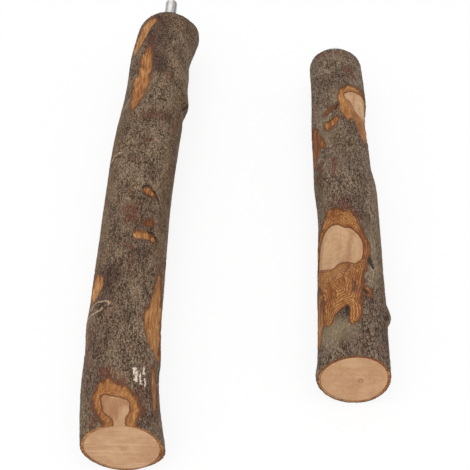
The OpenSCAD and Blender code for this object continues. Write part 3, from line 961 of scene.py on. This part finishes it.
def end_group():
    """A sawn end: saw streaks across it and faint growth rings round the pith"""
    inputs = [("Color", COLOUR), ("Pith", "NodeSocketVector"), ("Rings", VALUE), ("Streaks", VALUE)]
    group, w, given, out = new_group("sawn_end", inputs, [("Color", COLOUR), ("Height", VALUE)])
    where = w.node("ShaderNodeTexCoord").outputs["Object"]
    flat = w.vector("MULTIPLY", w.vector("SUBTRACT", where, given["Pith"]), (1.0, 0.0, 1.0))
    radius = w.node("ShaderNodeVectorMath", {0: flat}, operation="LENGTH").outputs["Value"]
    bent, mottle = w.grains("bent mottle")
    turn = w.times(w.add(radius, w.times(bent, RING_WANDERS)), 2 * math.pi / RING_PITCH)
    ring = w.times(w.step(w.math("SINE", turn), 0.3, 1.0), w.step(mottle, 0.40, 0.60))
    ring = w.times(ring, given["Rings"])
    saw, band = w.grains("saw band")
    colour = w.mix(w.times(ring, 0.3), given["Color"], tone(166, 120, 84))
    light = w.times(w.step(saw, 0.51, 0.62), given["Streaks"])
    colour = w.tint(colour, light, 0.45, tone(222, 184, 150))
    dark = w.times(w.step(band, 0.49, 0.38), given["Streaks"])
    colour = w.tint(colour, dark, 0.35, tone(176, 130, 94))
    colour = w.tint(colour, w.step(bent, 0.50, 0.66), 0.4, tone(176, 130, 96))
    colour = w.tint(colour, w.step(bent, 0.48, 0.34), 0.4, tone(214, 174, 134))
    colour = w.tint(colour, w.step(mottle, 0.52, 0.64), 0.25, tone(186, 144, 110))
    colour = w.tint(colour, w.step(mottle, 0.48, 0.36), 0.25, tone(216, 174, 136))
    heart = w.step(w.math("ABSOLUTE", w.math("SUBTRACT", radius, PITH_RING)), *PITH_EDGE)
    colour = w.tint(colour, w.times(heart, given["Rings"]), 0.7, tone(150, 98, 64))
    w.link(colour, out["Color"])
    w.link(w.add(saw, w.times(mottle, 0.5)), out["Height"])
    return group


def new_material(name, values):
    material = bpy.data.materials.new(name)
    material.use_nodes = True
    shader = material.node_tree.nodes["Principled BSDF"]
    for key, value in values.items():
        shader.inputs[key].default_value = value
    return material, Wiring(material.node_tree), shader


def add_bump(w, shader, height, size):
    distance, strength = size
    bump = w.node("ShaderNodeBump", {"Height": height, "Distance": distance, "Strength": strength})
    w.link(bump.outputs["Normal"], shader.inputs["Normal"])


def bark_material(name, bark, peeled, tones):
    material, w, shader = new_material(name, {"Roughness": 0.85, "Specular IOR Level": 0.25})
    skin = w.group(bark, tones)
    layers = w.group(peeled)
    colour = w.mix(layers["Share"], skin["Color"], layers["Color"])
    w.link(colour, shader.inputs["Base Color"])
    height = w.node("ShaderNodeMix", {0: layers["Share"], 2: skin["Height"], 3: layers["Height"]})
    add_bump(w, shader, height.outputs[0], BARK_BUMP)
    return material


def wood_material(name, peeled, end, pith, rings, streaks):
    material, w, shader = new_material(name, {"Roughness": 0.7, "Specular IOR Level": 0.3})
    layers = w.group(peeled)
    face = w.group(end, {"Color": END_TONE, "Pith": pith, "Rings": rings, "Streaks": streaks})
    colour = w.mix(w.mark("sawn"), layers["Color"], face["Color"])
    w.link(colour, shader.inputs["Base Color"])
    height = w.node("ShaderNodeMix", {0: w.mark("sawn"), 2: layers["Height"], 3: face["Height"]})
    add_bump(w, shader, height.outputs[0], WOOD_BUMP)
    return material


def steel_material(name, colour, roughness, cloudiness):
    material, w, shader = new_material(name, {"Metallic": 1.0})
    cloud = w.grain(cloudiness)
    fine = w.grain("brushed")
    worn = tuple(c * WORN for c in colour[:3]) + (1.0,)
    w.link(w.mix(w.step(cloud, 0.35, 0.7), colour, worn), shader.inputs["Base Color"])
    rough = w.add(w.times(cloud, ROUGH_VARIES), roughness - ROUGH_VARIES / 2)
    w.link(rough, shader.inputs["Roughness"])
    add_bump(w, shader, fine, STEEL_BUMP)
    return material


BARK_TONES = {
    "long": {
        "Body": tone(109, 87, 67), "Dark": tone(51, 37, 26), "Pale": tone(162, 139, 113),
        "Cool": tone(105, 84, 70), "Rust": tone(120, 74, 48),
    },
    "short": {
        "Body": tone(107, 85, 67), "Dark": tone(48, 35, 26), "Pale": tone(164, 144, 121),
        "Cool": tone(103, 83, 70), "Rust": tone(120, 72, 50),
    },
}
RINGS = {"long": 0.3, "short": 1.0}
SAW_STREAKS = {"long": 1.0, "short": 0.3}
END_TONE = tone(194, 150, 110)


def dress_perches():
    bark = bark_group()
    peeled = peel_group()
    end = end_group()
    bolt_steel = steel_material("bright_bolt_steel", tone(178, 176, 173), 0.24, "bolt_cloud")
    plain_steel = steel_material("zinc_plated_steel", tone(206, 207, 208), 0.34, "plate_cloud")
    for branch in (LONG, SHORT):
        side = branch["side"]
        px, _, pz = branch_place(branch)
        pith = (
            (px + axis_x(branch, 0) + branch["pith"][0]) * MM,
            0.0,
            (pz + axis_z(branch, 0) + branch["pith"][1]) * MM,
        )
        make_bark(branch, bark_material(side + "_bark", bark, peeled, BARK_TONES[side]))
        make_wood(branch, wood_material(side + "_wood", peeled, end, pith, RINGS[side], SAW_STREAKS[side]))
        make_bolt(branch, bolt_steel)
        for part in ("_inner_washer", "_outer_washer", "_nut"):
            for material_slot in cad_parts[side + part].material_slots:
                material_slot.material = plain_steel


# Floor, light and camera
FLOOR_HALF = 3.0
FLOOR_DROP = 0.0002
# The floor's matte grey, how bright it is where it is seen, and how much of that is used
FLOOR_GREY = (0.86, 0.86, 0.86, 1)
FLOOR_GLOW = 1.04
FLOOR_SEEN = 0.82
WHITE = (1, 1, 1, 1)
WORLD_LIGHT = 0.72
LAMP_AT = (-0.12, -0.55, 0.9)
LAMP_SIZE = 1.2
LAMP_POWER = 5.0
CAMERA_AT = (0.0066, -0.3634, 0.3465)
CAMERA_TILT = 44.93
CAMERA_TURN = 1.5
FRAME_PIXELS = 470
FOCAL_PIXELS = 1104
SENSOR = 36.0
CLIP_NEAR = 0.01
CLIP_FAR = 20


def seen_share(w):
    """1 for rays that show the background in the picture, in metal or through glass"""
    path = w.node("ShaderNodeLightPath").outputs
    shown = w.math("MAXIMUM", path["Is Camera Ray"], path["Is Glossy Ray"])
    return w.math("MAXIMUM", shown, path["Is Transmission Ray"])


def make_floor():
    bm = bmesh.new()
    bmesh.ops.create_grid(bm, x_segments=4, y_segments=4, size=FLOOR_HALF)
    bmesh.ops.translate(bm, verts=bm.verts, vec=(0, 0, -FLOOR_DROP))
    material = bpy.data.materials.new("white_floor")
    material.use_nodes = True
    w = Wiring(material.node_tree)
    w.tree.nodes.clear()
    matte = w.node("ShaderNodeBsdfDiffuse", {"Color": FLOOR_GREY}).outputs[0]
    white = w.node("ShaderNodeEmission", {"Color": WHITE, "Strength": FLOOR_GLOW}).outputs[0]
    share = w.times(seen_share(w), FLOOR_SEEN)
    both = w.node("ShaderNodeMixShader", {0: share, 1: matte, 2: white}).outputs[0]
    w.node("ShaderNodeOutputMaterial", {"Surface": both})
    floor = mesh_object("floor", bm, material)


def make_world():
    world = bpy.data.worlds.new("soft_studio")
    bpy.context.scene.world = world
    world.use_nodes = True
    w = Wiring(world.node_tree)
    w.tree.nodes.clear()
    strength = w.add(w.times(seen_share(w), 1.0 - WORLD_LIGHT), WORLD_LIGHT)
    back = w.node("ShaderNodeBackground", {"Color": WHITE, "Strength": strength}).outputs[0]
    w.node("ShaderNodeOutputWorld", {"Surface": back})


def make_lamp():
    """A soft lamp overhead, aimed at the origin"""
    light = bpy.data.lights.new("overhead", "AREA")
    light.size = LAMP_SIZE
    light.energy = LAMP_POWER
    lamp = new_object("overhead", light)
    lamp.location = LAMP_AT
    x, y, z = LAMP_AT
    lamp.rotation_euler = (math.atan2(math.hypot(x, y), z), 0, math.atan2(-y, -x) - math.pi / 2)


def make_camera():
    lens = bpy.data.cameras.new("view")
    lens.sensor_width = SENSOR
    lens.lens = SENSOR * FOCAL_PIXELS / FRAME_PIXELS
    lens.clip_start = CLIP_NEAR
    lens.clip_end = CLIP_FAR
    camera = new_object("view", lens)
    camera.location = CAMERA_AT
    camera.rotation_euler = (math.radians(CAMERA_TILT), 0, math.radians(CAMERA_TURN))
    bpy.context.scene.camera = camera


make_camera()
dress_perches()
make_floor()
make_world()
make_lamp()
bpy.context.scene.view_settings.view_transform = "Standard"
